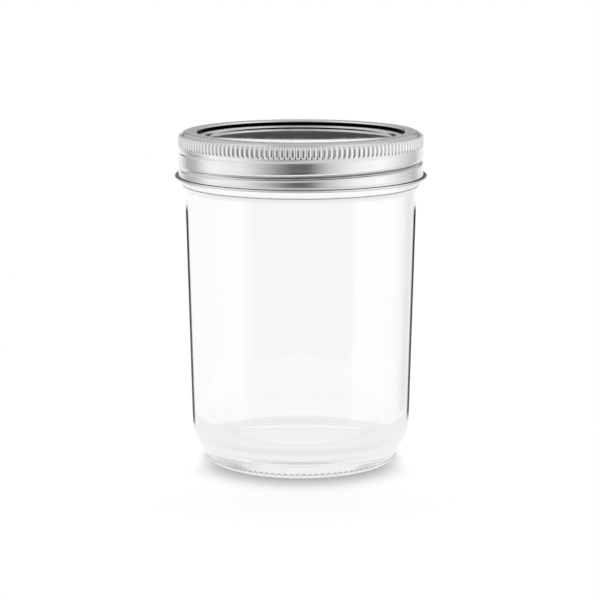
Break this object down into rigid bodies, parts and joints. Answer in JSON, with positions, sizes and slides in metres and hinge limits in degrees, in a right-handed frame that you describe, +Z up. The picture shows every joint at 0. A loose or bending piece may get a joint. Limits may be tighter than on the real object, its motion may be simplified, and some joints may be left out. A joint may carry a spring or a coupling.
{
  "type": "sourdough starter jar",
  "caption": "Straight-sided wide-mouth glass jar with a screw-on metal band, a flat lid disc with a recessed centre and a sealing ring; the band unscrews and lifts the lid off.",
  "frame": {"origin": "centre of the ring that the jar stands on, at floor level", "axes": "+Z up along the jar's axis; +X and +Y level"},
  "size_m": [0.0898, 0.0898, 0.1182],
  "materials": {
    "glass": "clear, smooth, polished by fire",
    "band_steel": "satin tin plate, faintly brushed round the band",
    "disc_steel": "tin plate, a little glossier than the band",
    "seal": "matt grey compound"
  },
  "bodies": {
    "jar": {"glass_jar": "glass"},
    "lid": {"lid_disc": "disc_steel", "sealing_ring": "seal"},
    "band": {"screw_band": "band_steel"}
  },
  "joints": [
    {"name": "lid_lift", "type": "slide", "parent": "jar", "child": "lid", "axis": [0, 0, 1], "range_m": [0, 0.0256]},
    {"name": "band_turn", "type": "hinge", "parent": "lid", "child": "band", "pos_m": [0, 0, 0.11], "axis": [0, 0, 1], "range_deg": [0, 1440]}
  ],
  "couplings": [
    {"joint": "lid_lift", "follows": "band_turn", "m_per_rad": 0.0010106}
  ]
}
